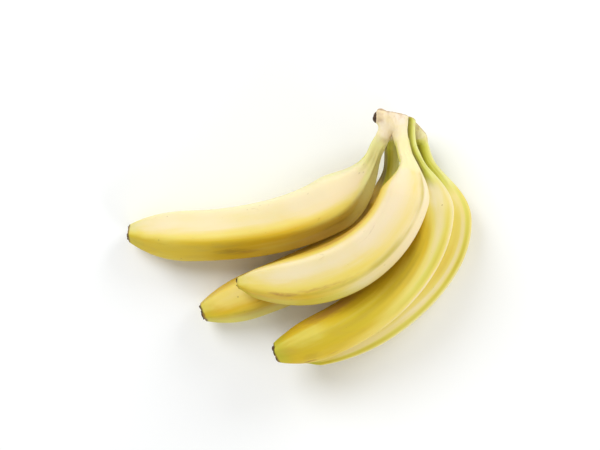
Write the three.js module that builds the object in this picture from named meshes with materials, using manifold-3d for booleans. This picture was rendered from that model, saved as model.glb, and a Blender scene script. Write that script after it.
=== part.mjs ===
// A bunch of five ripe bananas lying on a table, stalk end up and away from the viewer.
// Units are millimetres, +Z is up, and the table is the plane z = 0.
// Each finger is one solid: pedicel, shoulder, five-sided body and blunt tip. The fingers grow from
// one woody crown, which was cut from the stem with a knife, and each ends in a dried blossom scar.
import * as THREE from "three";
import { mergeVertices } from "three/addons/utils/BufferGeometryUtils.js";
import Module from "manifold-3d";

const wasm = await Module();
wasm.setup();

const GAP = 0.3; // clearance between touching pieces
const CUTTER = 400; // side of the blocks that cut, longer than the bunch
const UP = new THREE.Vector3(0, 0, 1);

// ---- driving dimensions -------------------------------------------------------------------------

// Facets round and along each kind of piece.
const FINGER_FACETS = [20, 40];
const ROOT_FACETS = [18, 8];
const STUMP_FACETS = [18, 4];
const SCAR_FACETS = [15, 3];
const PAD_FACETS = [28, 18];

// A finger's cross-section is a pentagon with well rounded corners, the ridges of the peel.
const FACES = 5;
const ROUNDNESS = 10; // higher is sharper

// The pedicel runs from the crown to the neck, the body from the neck to the tip. Both are cubic
// curves: start, two handles, end. The body's first handle carries on from the pedicel, `lead` from
// the neck. `ridge` is the turn of one ridge from straight up, towards the right of a finger
// that is seen from its pedicel, at the neck and at the tip.
const FINGERS = [
  {
    // long finger on the left, which comes down from the crown to the table
    pedicel: [[52, 55.7, 46], [50.1, 52, 43.5], [48.1, 48.6, 41.7], [46.5, 44.2, 38.3]],
    body: { lead: 32, bend: [4.2, -11.7, 30.4], tip: [-110.8, -5, 10.1] },
    girth: { pedicel: 4.7, middle: 16.8, taper: 0.21, end: 4.8 },
    reach: { shoulder: 44.5, point: 41.5 },
    ridge: [-30, -14],
  },
  {
    // finger on top, arching over its neighbours
    pedicel: [[61.8, 52.7, 48.6], [63.8, 49.2, 53], [64.3, 44.2, 56.6], [65.5, 40.9, 61.3]],
    body: { lead: 26, bend: [59, -42.7, 63.6], tip: [-39.8, -35.8, 37] },
    girth: { pedicel: 4.4, middle: 16.7, taper: -0.37, end: 4.8 },
    reach: { shoulder: 27, point: 86.5 },
    ridge: [-36, -28],
  },
  {
    // finger under the first two, flat on the table
    pedicel: [[58.8, 53.5, 26], [58.2, 47.7, 24.3], [59, 42.1, 22.6], [58.3, 36.3, 21.1]],
    body: { lead: 31.5, bend: [81.7, -6.7, 18.4], tip: [-63.5, -56.4, 14] },
    girth: { pedicel: 4.8, middle: 14.9, taper: 0.14, end: 5.1 },
    reach: { shoulder: 26, point: 38.5 },
    ridge: [-40, -30],
  },
  {
    // finger on the right, propped on the outermost one
    pedicel: [[68, 53.6, 36.3], [68.5, 49, 37.1], [71, 43.6, 36.8], [73.1, 39.1, 37.6]],
    body: { lead: 65.5, bend: [41.2, -65.7, 45.8], tip: [-16.1, -80.8, 32.3] },
    girth: { pedicel: 4.6, middle: 14.7, taper: 0.19, end: 4.9 },
    reach: { shoulder: 33, point: 37.5 },
    ridge: [-62, -60],
  },
  {
    // outermost finger, flat on the table
    pedicel: [[76.4, 55.8, 19.6], [77.9, 49.6, 18.8], [79.5, 41.8, 17.1], [83.3, 36.7, 16.5]],
    body: { lead: 86.5, bend: [19, -80, 17.7], tip: [0.5, -86, 11.7] },
    girth: { pedicel: 4.7, middle: 13.7, taper: -0.08, end: 5.1 },
    reach: { shoulder: 36, point: 61.5 },
    ridge: [-59, -59],
  },
];

// How a finger swells: past the neck over `shoulder`, and in to the blunt end over `point`.
const POINT_SHARPNESS = 2.3;

// Dried blossom scar on each blunt end.
const SCAR_LENGTH = 1.8;
const SCAR_SHARE = 0.86; // of the radius that it grows from
const SCAR_LUMPS = 0.12;
const SCAR_POINT = 0.25; // how much narrower its far end is

// Crown: a cushion, leaning over to the right, with a root running back from each pedicel through it
// to the knife cuts. Half sizes are across, along the pedicels, and up; turns are in degrees.
const PAD = { centre: [63, 64, 37], half: [12, 9, 19], boxiness: 0.75, lean: -33, turn: -12 };
const ROOT_ENDS = [[57.5, 74, 48], [61, 73, 44], [61, 73, 30], [71, 72, 36], [79, 69, 26]];
const ROOT_LEAD = 7; // how far a root carries straight on from its pedicel
const ROOT_FLARE = 1.25; // radius at the cut over radius at the pedicel
const KNIFE_CUTS = [
  { through: [58, 69.9], facing: 79 }, // degrees round from +X
  { through: [74, 65.5], facing: 47 },
];

// Stump beside the first root, where a sixth finger was broken off, and the dark scab on its end.
const STUMP = { start: [60, 66, 44], end: [47.8, 68.4, 46], radii: [6, 4.4] };
const SCAB_LENGTH = 2.3;

// ---- tools --------------------------------------------------------------------------------------

const vector = (point) => new THREE.Vector3(...point);
const cubic = (points) => new THREE.CubicBezierCurve3(...points.map(vector));
const smooth = (x) => THREE.MathUtils.smoothstep(x, 0, 1);

function solid(geometry) {
  const bare = geometry.clone();
  bare.deleteAttribute("normal");
  bare.deleteAttribute("uv");
  const merged = mergeVertices(bare, 1e-4);
  return new wasm.Manifold(
    new wasm.Mesh({
      numProp: 3,
      vertProperties: merged.attributes.position.array,
      triVerts: new Uint32Array(merged.index.array),
    }),
  );
}

function geometryOf(body) {
  const mesh = body.getMesh();
  const geometry = new THREE.BufferGeometry();
  geometry.setAttribute("position", new THREE.BufferAttribute(mesh.vertProperties, 3));
  geometry.setIndex(new THREE.BufferAttribute(mesh.triVerts, 1));
  geometry.computeVertexNormals();
  return geometry;
}

// A closed tube round a curve, with `facets` round and along it. radius(share, angle) gives the
// distance of the skin from the curve, with share from 0 to 1 along the curve, and angle measured
// from up towards the tube's right.
function tube(curve, facets, radius) {
  const geometry = new THREE.CylinderGeometry(1, 1, 1, ...facets);
  const position = geometry.attributes.position;
  for (let i = 0; i < position.count; i++) {
    const [x, y, z] = [position.getX(i), position.getY(i), position.getZ(i)];
    const share = y + 0.5;
    const along = curve.getTangentAt(share);
    const right = along.clone().cross(UP).normalize();
    const above = right.clone().cross(along);
    const reach = Math.hypot(x, z) < 0.5 ? 0 : radius(share, Math.atan2(x, z));
    const point = curve.getPointAt(share);
    point.addScaledVector(right, x * reach).addScaledVector(above, z * reach);
    position.setXYZ(i, point.x, point.y, point.z);
  }
  return geometry;
}

// Distance to the skin of a rounded regular pentagon of mean radius 1, with a ridge at `ridge`.
function section(angle, ridge) {
  let sum = 0;
  for (let face = 0; face < FACES; face++) {
    const towards = ridge + ((face + 0.5) * 2 * Math.PI) / FACES;
    sum += Math.max(0, Math.cos(angle - towards)) ** ROUNDNESS;
  }
  return sum ** (-1 / ROUNDNESS);
}
const MEAN_SECTION = (() => {
  const steps = 360;
  let total = 0;
  for (let i = 0; i < steps; i++) total += section((i * 2 * Math.PI) / steps, 0);
  return total / steps;
})();

// ---- fingers ------------------------------------------------------------------------------------

// The whole centreline, from the crown to the blunt end, which stops short to leave room for the scar.
function centreline({ pedicel, body }) {
  const neck = vector(pedicel[3]);
  const onward = neck.clone().sub(vector(pedicel[2])).normalize();
  const lead = neck.clone().addScaledVector(onward, body.lead);
  const whole = new THREE.CubicBezierCurve3(neck, lead, vector(body.bend), vector(body.tip));
  const stop = whole.getUtoTmapping(1 - SCAR_LENGTH / whole.getLength());
  const fruit = Object.assign(new THREE.Curve(), { getPoint: (t) => whole.getPoint(t * stop) });
  const path = new THREE.CurvePath();
  path.add(cubic(pedicel));
  path.add(fruit);
  return path;
}

function fingerSkin(finger) {
  const { girth, reach, ridge } = finger;
  const path = centreline(finger);
  const [stalk, fruit] = path.curves.map((curve) => curve.getLength());
  const radius = (share, angle) => {
    const past = Math.max(0, share * (stalk + fruit) - stalk);
    const left = fruit + SCAR_LENGTH - past;
    const middle = girth.middle * (1 + girth.taper * (0.5 - past / (fruit + SCAR_LENGTH)));
    const narrowing = 1 - (1 - Math.min(1, left / reach.point)) ** POINT_SHARPNESS;
    const body = girth.end + (middle - girth.end) * narrowing;
    const mean = girth.pedicel + (body - girth.pedicel) * smooth(past / reach.shoulder);
    const turn = THREE.MathUtils.degToRad(THREE.MathUtils.lerp(ridge[0], ridge[1], past / fruit));
    return (mean * section(angle, turn)) / MEAN_SECTION;
  };
  return { path, radius };
}

const table = solid(new THREE.BoxGeometry(CUTTER, CUTTER, CUTTER).translate(0, 0, -CUTTER / 2));

function fingerSolid(finger) {
  const { path, radius } = fingerSkin(finger);
  return solid(tube(path, FINGER_FACETS, radius)).subtract(table);
}

// The same finger grown by the clearance, to cut the crown with.
function fingerRoom(finger) {
  const { path, radius } = fingerSkin(finger);
  const back = path.getTangentAt(0).multiplyScalar(-GAP);
  const body = solid(tube(path, FINGER_FACETS, (share, angle) => radius(share, angle) + GAP));
  return body.add(body.translate(back.toArray()));
}

// ---- dried scars --------------------------------------------------------------------------------

// A lumpy dried disc that stands `length` proud of the end of a curve, clear of it by the gap.
function scarSolid(curve, size, length) {
  const onward = curve.getTangentAt(1);
  const start = curve.getPointAt(1).addScaledVector(onward, GAP);
  const end = start.clone().addScaledVector(onward, length - GAP);
  const lumps = (angle) => 1 + SCAR_LUMPS * Math.cos(FACES * angle);
  const radius = (share, angle) => size * SCAR_SHARE * (1 - SCAR_POINT * share ** 2) * lumps(angle);
  return solid(tube(new THREE.LineCurve3(start, end), SCAR_FACETS, radius));
}

// ---- crown --------------------------------------------------------------------------------------

function rootSolid(finger, end) {
  const start = vector(finger.pedicel[0]);
  const back = start.clone().sub(vector(finger.pedicel[1])).normalize();
  const lead = start.clone().addScaledVector(back, ROOT_LEAD);
  const stop = vector(end);
  const curve = new THREE.CubicBezierCurve3(start, lead, lead.clone().lerp(stop, 0.5), stop);
  const size = finger.girth.pedicel;
  const radius = (share) => size * THREE.MathUtils.lerp(1, ROOT_FLARE, smooth(share));
  return solid(tube(curve, ROOT_FACETS, radius));
}

function padSolid() {
  const geometry = new THREE.SphereGeometry(1, ...PAD_FACETS);
  const position = geometry.attributes.position;
  const swell = (x) => Math.sign(x) * Math.abs(x) ** PAD.boxiness;
  for (let i = 0; i < position.count * 3; i++) position.array[i] = swell(position.array[i]);
  geometry.scale(...PAD.half);
  geometry.rotateY(THREE.MathUtils.degToRad(PAD.lean));
  geometry.rotateZ(THREE.MathUtils.degToRad(PAD.turn));
  geometry.translate(...PAD.centre);
  return solid(geometry);
}

function knifeSolid({ through, facing }) {
  const box = new THREE.BoxGeometry(CUTTER, CUTTER, CUTTER);
  box.translate(CUTTER / 2, 0, 0);
  box.rotateZ(THREE.MathUtils.degToRad(facing));
  return solid(box.translate(...through, PAD.centre[2]));
}

const stumpCurve = new THREE.LineCurve3(vector(STUMP.start), vector(STUMP.end));

function stumpSolid() {
  return solid(tube(stumpCurve, STUMP_FACETS, (share) => THREE.MathUtils.lerp(...STUMP.radii, share)));
}

function crownSolid() {
  let body = padSolid().add(stumpSolid());
  FINGERS.forEach((finger, i) => (body = body.add(rootSolid(finger, ROOT_ENDS[i]))));
  KNIFE_CUTS.forEach((cut) => (body = body.subtract(knifeSolid(cut))));
  FINGERS.forEach((finger) => (body = body.subtract(fingerRoom(finger))));
  return body;
}

// ---- the bunch ----------------------------------------------------------------------------------

const PEEL = { color: 0xeed45c, roughness: 0.5, metalness: 0 };
const CROWN = { color: 0xe6d3a0, roughness: 0.65, metalness: 0 };
const DRIED = { color: 0x33221a, roughness: 0.85, metalness: 0 };

const bunch = new THREE.Group();

function place(name, body, look) {
  const mesh = new THREE.Mesh(geometryOf(body), new THREE.MeshStandardMaterial(look));
  mesh.name = name;
  bunch.add(mesh);
}

place("crown", crownSolid(), CROWN);
place("crown_scab", scarSolid(stumpCurve, STUMP.radii[1], SCAB_LENGTH), DRIED);
FINGERS.forEach((finger, i) => {
  place(`banana_${i + 1}`, fingerSolid(finger), PEEL);
  place(`tip_${i + 1}`, scarSolid(centreline(finger), finger.girth.end, SCAR_LENGTH), DRIED);
});

// The origin is under the middle of the bunch, on the table.
const middle = new THREE.Box3().setFromObject(bunch).getCenter(new THREE.Vector3());
bunch.position.set(-middle.x, -middle.y, 0);

export default bunch;
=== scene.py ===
"""Five ripe bananas on one cut crown, lying on a pale table.

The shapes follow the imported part's driving dimensions, in millimetres in the bunch's own growth frame,
and add the finer relief of the peel. The function `placed` turns them into metres in the part's frame.
A place along a finger is its distance past the neck, where the pedicel meets the fruit. An angle round a
finger is counted from up towards the right of its way to the tip.
"""

import math

import bpy
import numpy as np
import openvdb
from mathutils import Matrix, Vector


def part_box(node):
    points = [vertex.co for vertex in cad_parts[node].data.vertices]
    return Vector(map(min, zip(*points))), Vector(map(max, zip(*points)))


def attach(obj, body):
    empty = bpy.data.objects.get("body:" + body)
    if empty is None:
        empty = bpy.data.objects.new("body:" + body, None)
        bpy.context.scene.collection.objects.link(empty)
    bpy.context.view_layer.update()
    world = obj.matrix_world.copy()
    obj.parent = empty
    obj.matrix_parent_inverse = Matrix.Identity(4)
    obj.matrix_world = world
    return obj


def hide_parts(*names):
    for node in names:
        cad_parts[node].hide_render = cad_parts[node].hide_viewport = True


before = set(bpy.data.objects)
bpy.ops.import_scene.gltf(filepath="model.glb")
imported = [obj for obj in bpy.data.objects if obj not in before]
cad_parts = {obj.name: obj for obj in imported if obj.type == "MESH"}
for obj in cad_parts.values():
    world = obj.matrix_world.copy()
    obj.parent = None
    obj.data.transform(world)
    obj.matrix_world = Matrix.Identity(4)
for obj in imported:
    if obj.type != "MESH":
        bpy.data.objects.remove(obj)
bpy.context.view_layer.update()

MM = 0.001

# ---- driving dimensions -------------------------------------------------------------------------------

# These are the part's own, apart from the start of the second finger's pedicel and the second knife cut,
# which sit about 1 mm off the part's.
FINGERS = [
    dict(
        pedicel=[(52, 55.7, 46), (50.1, 52, 43.5), (48.1, 48.6, 41.7), (46.5, 44.2, 38.3)],
        lead=32, bend=(4.2, -11.7, 30.4), tip=(-110.8, -5, 10.1),
        stalk=4.7, middle=16.8, taper=0.21, end=4.8, shoulder=44.5, point=41.5, ridge=(-30, -14),
    ),
    dict(
        pedicel=[(62.9, 52.9, 48.6), (64.1, 49.2, 53), (64.3, 44.2, 56.6), (65.5, 40.9, 61.3)],
        lead=26, bend=(59, -42.7, 63.6), tip=(-39.8, -35.8, 37),
        stalk=4.4, middle=16.7, taper=-0.37, end=4.8, shoulder=27, point=86.5, ridge=(-36, -28),
    ),
    dict(
        pedicel=[(58.8, 53.5, 26), (58.2, 47.7, 24.3), (59, 42.1, 22.6), (58.3, 36.3, 21.1)],
        lead=31.5, bend=(81.7, -6.7, 18.4), tip=(-63.5, -56.4, 14),
        stalk=4.8, middle=14.9, taper=0.14, end=5.1, shoulder=26, point=38.5, ridge=(-40, -30),
    ),
    dict(
        pedicel=[(68, 53.6, 36.3), (68.5, 49, 37.1), (71, 43.6, 36.8), (73.1, 39.1, 37.6)],
        lead=65.5, bend=(41.2, -65.7, 45.8), tip=(-16.1, -80.8, 32.3),
        stalk=4.6, middle=14.7, taper=0.19, end=4.9, shoulder=33, point=37.5, ridge=(-62, -60),
    ),
    dict(
        pedicel=[(76.4, 55.8, 19.6), (77.9, 49.6, 18.8), (79.5, 41.8, 17.1), (83.3, 36.7, 16.5)],
        lead=86.5, bend=(19, -80, 17.7), tip=(0.5, -86, 11.7),
        stalk=4.7, middle=13.7, taper=-0.08, end=5.1, shoulder=36, point=61.5, ridge=(-59, -59),
    ),
]
FACES = 5
ROUNDNESS = 10
POINT_SHARPNESS = 2.3
SCAR_LENGTH = 1.8
SCAR_SHARE = 0.86

PAD_BOXINESS, PAD_LEAN, PAD_TURN = 0.75, -33, -12
ROOT_LEAD = 7
KNIFE_CUTS = [((58, 69.9), 79), ((73.4, 65.1), 46)]
STUMP_START, STUMP_END, STUMP_RADII = (60, 66, 44), (47.8, 68.4, 46), (6, 4.4)
SCAB_LENGTH = 2.3
SCAB_SLIP = (0, -1.1, 0)  # the scab sits low on the stump's end

# The view: a camera straight above, `CAMERA_HEIGHT` over the table, whose picture is 600 pixels wide.
CAMERA_HEIGHT = 1100
PIXEL_SIZE = 0.65  # of table in one pixel
PICTURE_WIDTH = 600
SENSOR_WIDTH = 36

# Fineness of the visible skins.
FINGER_RINGS, FINGER_SIDES = 430, 144
SCAR_RINGS, SCAR_SIDES = 34, 96
CROWN_STEP = 0.4

PEEL_SEED, GRAIN_SEED, SCAB_SEED, TIP_SEED = 100, 11, 7, 20

# ---- curves and skins ---------------------------------------------------------------------------------


def unit(vectors):
    return vectors / np.linalg.norm(vectors, axis=-1, keepdims=True)


def smooth(x):
    x = np.clip(x, 0, 1)
    return x * x * (3 - 2 * x)


def bezier(points, t):
    p = np.array(points, float)
    t = np.asarray(t, float)[:, None]
    return (1 - t) ** 3 * p[0] + 3 * (1 - t) ** 2 * t * p[1] + 3 * (1 - t) * t * t * p[2] + t**3 * p[3]


class Line:
    """A curve that is followed by its length."""

    def __init__(self, points):
        self.points = points
        steps = np.linalg.norm(np.diff(points, axis=0), axis=1)
        self.lengths = np.concatenate([[0], np.cumsum(steps)])
        self.along = unit(np.gradient(points, axis=0))

    def at(self, s):
        """Places, directions, rights and ups at lengths s. Lengths outside the curve go straight on."""
        s = np.asarray(s, float)
        inside = np.clip(s, 0, self.lengths[-1])
        place = np.stack([np.interp(inside, self.lengths, self.points[:, k]) for k in range(3)], -1)
        along = unit(np.stack([np.interp(inside, self.lengths, self.along[:, k]) for k in range(3)], -1))
        place = place + along * (s - inside)[..., None]
        right = unit(np.cross(along, [0, 0, 1.0]))
        return place, along, right, np.cross(right, along)


def centreline(finger):
    fine = np.linspace(0, 1, 1200)
    neck = np.array(finger["pedicel"][3], float)
    onward = unit(neck - np.array(finger["pedicel"][2], float))
    stalk = bezier(finger["pedicel"], fine)
    fruit = bezier([neck, neck + finger["lead"] * onward, finger["bend"], finger["tip"]], fine)
    line = Line(np.concatenate([stalk, fruit[1:]]))
    line.stalk = line.lengths[len(stalk) - 1]
    line.fruit = line.lengths[-1] - line.stalk
    return line


def section(angle, turn, roundness):
    """Distance to the skin of a rounded pentagon of mean radius 1, with a ridge at `turn`."""

    def reach(angle, turn):
        total = 0
        for face in range(FACES):
            towards = turn + (face + 0.5) * 2 * math.pi / FACES
            total = total + np.maximum(0, np.cos(angle - towards)) ** roundness
        return total ** (-1 / roundness)

    every = np.linspace(0, 2 * math.pi, 360, endpoint=False)
    return reach(angle, turn) / reach(every[None, :], 0 * turn).mean(1, keepdims=True)


def radius_along(finger, line, s):
    """Mean radius and ridge turn at lengths s, as in the part."""
    past = np.maximum(0, s - line.stalk)
    left = line.fruit - past
    middle = finger["middle"] * (1 + finger["taper"] * (0.5 - past / line.fruit))
    narrowing = 1 - (1 - np.clip(left / finger["point"], 0, 1)) ** POINT_SHARPNESS
    body = finger["end"] + (middle - finger["end"]) * narrowing
    mean = finger["stalk"] + (body - finger["stalk"]) * smooth(past / finger["shoulder"])
    start, end = np.radians(finger["ridge"])
    return mean, start + (end - start) * np.clip(past / (line.fruit - SCAR_LENGTH), 0, 1)


def ring_points(line, s, angle, radius):
    place, _, right, up = line.at(s)
    sine, cosine = (radius * np.sin(angle))[..., None], (radius * np.cos(angle))[..., None]
    return place[:, None] + sine * right[:, None] + cosine * up[:, None]


def origin_shift():
    """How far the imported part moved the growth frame, from the one finger that the table doesn't cut."""
    finger = FINGERS[1]
    line = centreline(finger)
    s = np.linspace(0, line.lengths[-1] - SCAR_LENGTH, 41)
    angle = np.radians(np.arange(20) * 18)[None, :]
    mean, turn = radius_along(finger, line, s)
    radius = mean[:, None] * section(angle, turn[:, None], ROUNDNESS)
    points = ring_points(line, s, angle, radius).reshape(-1, 3)
    low, high = (np.array(corner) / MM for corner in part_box("banana_2"))
    return (low + high) / 2 - (points.min(0) + points.max(0)) / 2


SHIFT = origin_shift() * (1, 1, 0)


def placed(points):
    """Millimetres of the growth frame as metres of the part's frame, never below the table."""
    moved = (np.asarray(points, float) + SHIFT) * MM
    moved[..., 2] = np.maximum(moved[..., 2], 0)
    return moved


# ---- meshes -------------------------------------------------------------------------------------------


def make_piece(name, node, vertices, faces, material, attributes=None):
    """A smooth piece that rides on the bunch's one body and stands for `node`."""
    mesh = bpy.data.meshes.new(name)
    mesh.from_pydata(vertices.tolist(), [], faces)
    for key, values in (attributes or {}).items():
        layer = mesh.attributes.new(key, "FLOAT_VECTOR", "POINT")
        layer.data.foreach_set("vector", np.asarray(values, np.float32).ravel())
    mesh.polygons.foreach_set("use_smooth", np.ones(len(mesh.polygons), bool))
    mesh.materials.append(material)
    mesh.update()
    piece = bpy.data.objects.new(name, mesh)
    bpy.context.scene.collection.objects.link(piece)
    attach(piece, "root")
    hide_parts(node)
    return piece


def tube_faces(rings, sides):
    """Quads of a closed tube, and fans to a first and a last middle vertex that follow the rings."""
    i, j = np.meshgrid(np.arange(rings - 1), np.arange(sides), indexing="ij")
    on = (j + 1) % sides
    quads = np.stack([i * sides + j, i * sides + on, (i + 1) * sides + on, (i + 1) * sides + j], -1)
    start, end, last = rings * sides, rings * sides + 1, (rings - 1) * sides
    fans = []
    for k in range(sides):
        fans.append([start, (k + 1) % sides, k])
        fans.append([end, last + k, last + (k + 1) % sides])
    return quads.reshape(-1, 4).tolist() + fans


def waves(random, along, angle, count, reach):
    """A smooth random field over a finger, about 1 high: slow waves with up to 3 turns round it."""
    total = 0
    for _ in range(count):
        turns = random.integers(0, 4)
        total = total + np.cos(
            along * random.uniform(0.3, 1) * 2 * math.pi / reach
            + turns * angle + random.uniform(0, 2 * math.pi)
        )
    return total / math.sqrt(count / 2)


def around(pairs, angle):
    """A value at each angle, from (degrees, value) pairs that go once round."""
    at, value = zip(*pairs)
    return np.interp((np.degrees(angle) + 180) % 360 - 180, at, value, period=360)


def tone_round(stations, past, angle):
    """A value on the peel, from pairs round its girth at a few distances past the neck."""
    rings = np.stack([around(pairs, angle) for _, pairs in stations])
    places = [place for place, _ in stations]
    total = 0
    for k, ring in enumerate(rings):
        weight = np.interp(past, places, np.eye(len(places))[k])
        total = total + weight * ring
    return total


def ridge_share(shares, angle, turn):
    """How marked the nearest ridge is, from the share of each of the five, counted from the turned one."""
    nearest = np.round((angle - turn) / (2 * math.pi / FACES)).astype(int) % FACES
    return np.array(shares, float)[nearest]


FRUIT_START, FRUIT_FULL = -4, 12  # where past the neck the fruit's own relief starts, and is whole
RIDGE_HEIGHT, RIDGE_WIDTH, RIDGE_FADE = 0.10, math.radians(6), 12
WAVE_HEIGHT, WAVE_FADE = 0.16, 25
WAVES, WAVE_REACH = 9, 60
FOLD_HEIGHT, FOLDS = 0.1, 13
FOLD_PLACE, FOLD_SPREAD = 4, 11  # past the neck
FOLD_WANDER, FOLD_WAVES, FOLD_REACH = 1.5, 5, 40
STALK_ROUNDNESS = 4
ROUND_UNTIL = 6  # past the neck, where a section is as sharp as the fruit's
SUNK = 0.1  # share by which a pedicel starts inside its root
JOIN = 7.0  # length over which it comes out
PINCH = 12.0  # length over which a tip narrows in to its scar
RIM, RIM_LENGTH = 0.9, 0.7  # how far the blunt end turns in round its scar, and over what length
RIM_TURNS = (30, 60, 90)
# The scar's seat, from the rim inwards: how far past the rim's foot, and the share of its radius.
SEAT, SEAT_MIDDLE = [(0.55, 0.7), (0.1, 0.6), (-0.2, 0.3)], -0.25
RIPE, RIPE_LENGTH = 0.25, 32  # how much more golden a tip is, and over what length


def relief(random, line, s, angle, turn):
    """What the fruit adds to the part's skin: a crease along each ridge, slow waves, folds at the neck."""
    past, left = s - line.stalk, line.lengths[-1] - s
    fruit = smooth((past - FRUIT_START) / (FRUIT_FULL - FRUIT_START))
    off_ridge = (angle - turn + math.pi / FACES) % (2 * math.pi / FACES) - math.pi / FACES
    crease = RIDGE_HEIGHT * np.exp(-((off_ridge / RIDGE_WIDTH) ** 2)) * fruit * smooth(left / RIDGE_FADE)
    wave = WAVE_HEIGHT * waves(random, s, angle, WAVES, WAVE_REACH) * smooth(left / WAVE_FADE) * fruit
    neck = np.exp(-(((past - FOLD_PLACE) / FOLD_SPREAD) ** 2))
    wander = FOLD_WANDER * waves(random, s, angle, FOLD_WAVES, FOLD_REACH)
    return crease + wave + FOLD_HEIGHT * neck * np.cos(FOLDS * angle + wander)


def finger_skin(number, finger, line, angle):
    """Lengths, radii and ridge turns of a finger's rings, from inside its root to the scar's seat."""
    random = np.random.default_rng(PEEL_SEED + number)
    stop = line.lengths[-1] - SCAR_LENGTH
    s = np.linspace(0, stop, FINGER_RINGS)[:, None]
    mean, turn = radius_along(finger, line, s)
    sharper = smooth(s / (line.stalk + ROUND_UNTIL))
    shape = section(angle, turn, STALK_ROUNDNESS + (ROUNDNESS - STALK_ROUNDNESS) * sharper)
    sink = 1 - SUNK * (1 - smooth(s / JOIN))
    pinch = 1 - PEEL_LOOKS[number - 1]["pinch"] * smooth((PINCH - line.lengths[-1] + s) / PINCH)
    radius = mean * shape * sink * pinch + relief(random, line, s, angle, turn)

    # The blunt end turns in and dips to a shallow seat for the scar.
    inward = RIM / finger["end"]
    rim = [(RIM_LENGTH * math.sin(a), 1 - inward * (1 - math.cos(a))) for a in np.radians(RIM_TURNS)]
    onward, share = np.array(rim + SEAT).T[:, :, None]
    s = np.concatenate([s, stop + onward])
    return s, np.concatenate([radius, radius[-1:] * share]), np.concatenate([turn, turn[-1] + 0 * onward])


def finger_piece(number, finger, material):
    """One finger's peel, with what its material reads at every vertex."""
    line, look, root = centreline(finger), PEEL_LOOKS[number - 1], ROOTS[number - 1]
    angle = np.linspace(0, 2 * math.pi, FINGER_SIDES, endpoint=False)[None, :]
    s, radius, turn = finger_skin(number, finger, line, angle)
    points = ring_points(line, s[:, 0], angle, radius).reshape(-1, 3)
    ends = line.at([0, line.lengths[-1] - SCAR_LENGTH + SEAT_MIDDLE])[0]
    vertices = placed(np.concatenate([points, ends]))

    whole = np.zeros(radius.shape)
    angle, past, left = whole + angle, whole + s - line.stalk, whole + line.lengths[-1] - s
    ridge = 0.5 + 0.5 * np.cos(FACES * (angle - turn))
    marked = ridge_share(look["ridges"], angle, turn)
    # painted shade: the tones make the sides away from the light and under other fingers more golden; the tip
    # is riper
    ripeness_and_shade = tone_round(look["tones"], past, angle) + RIPE * smooth((RIPE_LENGTH - left) / RIPE_LENGTH)
    beyond_neck = (past - around(look["neck"], angle)) / look["neck_blur"]
    layers = {
        "straight": [past * MM, radius * np.sin(angle) * MM, radius * np.cos(angle) * MM],
        "peel": [left * MM, ridge, ripeness_and_shade],
        "skin": [beyond_neck, around(look["stalk"], angle), greenness(whole + s, root)],
        "marked": [marked, tone_round(look["leaf"], past, angle), whole + root["cream"]],
    }
    for key, parts in layers.items():
        values = np.stack(parts, -1)
        middles = [values[0].mean(0), values[-1].mean(0)]
        layers[key] = np.concatenate([values.reshape(-1, 3), middles])
    faces = tube_faces(len(s), FINGER_SIDES)
    return make_piece(f"peel_{number}", f"banana_{number}", vertices, faces, material, layers)


SCAR_WALL = 0.4  # share of a dished scar's rings that make its side
# In shares of a scar's length: how deep its foot sits, how far it rises from there, how far its middle dips.
SCAR_FOOT, DOME_RISE, DISH_RISE, DISH_DIP = 0.5, 1.45, 1.35, 0.45
NIB_HEIGHT = 0.35  # of the small point in a dish's middle
LUMP_TURNS = (2, 3, 5, 8, 13)


def dome(share, lumps):
    """Radii and heights from a domed scar's foot to its top, as shares of its size and length."""
    swell = share * math.pi / 2
    radius = (1 + 0.05 * lumps) * np.cos(swell)
    return radius, DOME_RISE * np.sin(swell) - SCAR_FOOT + 0.12 * lumps * np.sin(2 * swell)


def dish(share, lumps):
    """Radii and heights from a hollow scar's foot over its edge to its middle, in the same shares."""
    side = np.clip(share / SCAR_WALL, 0, 1)
    top = np.clip((share - SCAR_WALL) / (1 - SCAR_WALL), 0, 1)
    bulge = 0.82 + 0.18 * np.sin(side * math.pi * 0.75)
    radius = (1 + 0.09 * lumps) * bulge * (1 - top) ** 0.6
    edge = DISH_RISE * smooth(side) - SCAR_FOOT + 0.14 * lumps * (1 - top) * smooth(side)
    nib = NIB_HEIGHT / SCAR_LENGTH * np.exp(-(((top - 1) / 0.2) ** 2))
    return radius, edge - DISH_DIP * smooth(top / 0.7) + nib


def scar_piece(name, node, line, size, length, material, seed, form=dish):
    """A dried, lumpy disc that stands `length` proud of a curve's end."""
    random = np.random.default_rng(seed)
    angle = np.linspace(0, 2 * math.pi, SCAR_SIDES, endpoint=False)[None, :]
    share = np.linspace(0, 1, SCAR_RINGS)[:, None]
    lumps = 0
    for turns in LUMP_TURNS:
        lumps = lumps + np.cos(turns * angle + random.uniform(0, 2 * math.pi)) / math.sqrt(turns)
    radius, height = form(share, lumps)
    radius, height = size * radius, length * np.minimum(height, 1)
    place, along, right, up = line.at(line.lengths[-1:])
    sideways, upwards = (radius * np.sin(angle))[..., None], (radius * np.cos(angle))[..., None]
    points = place[0] + height[..., None] * along[0] + sideways * right[0] + upwards * up[0]
    middle = [place + along * height[0].mean(), place + along * height[-1].mean()]
    vertices = placed(np.concatenate([points.reshape(-1, 3), *middle]))
    return make_piece(name, node, vertices, tube_faces(SCAR_RINGS, SCAR_SIDES), material)


# ---- the crown ----------------------------------------------------------------------------------------


def smooth_union(a, b, blend):
    share = np.clip(0.5 + 0.5 * (b - a) / blend, 0, 1)
    return b + (a - b) * share - blend * share * (1 - share)


def beads(points, centres, radii):
    """Distance from points to a row of close balls."""
    nearest = np.full(points.shape[:-1], 1e3, np.float32)
    for centre, radius in zip(centres, radii):
        offset = points - np.asarray(centre, np.float32)
        nearest = np.minimum(nearest, np.sqrt((offset * offset).sum(-1)) - np.float32(radius))
    return nearest


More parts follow.
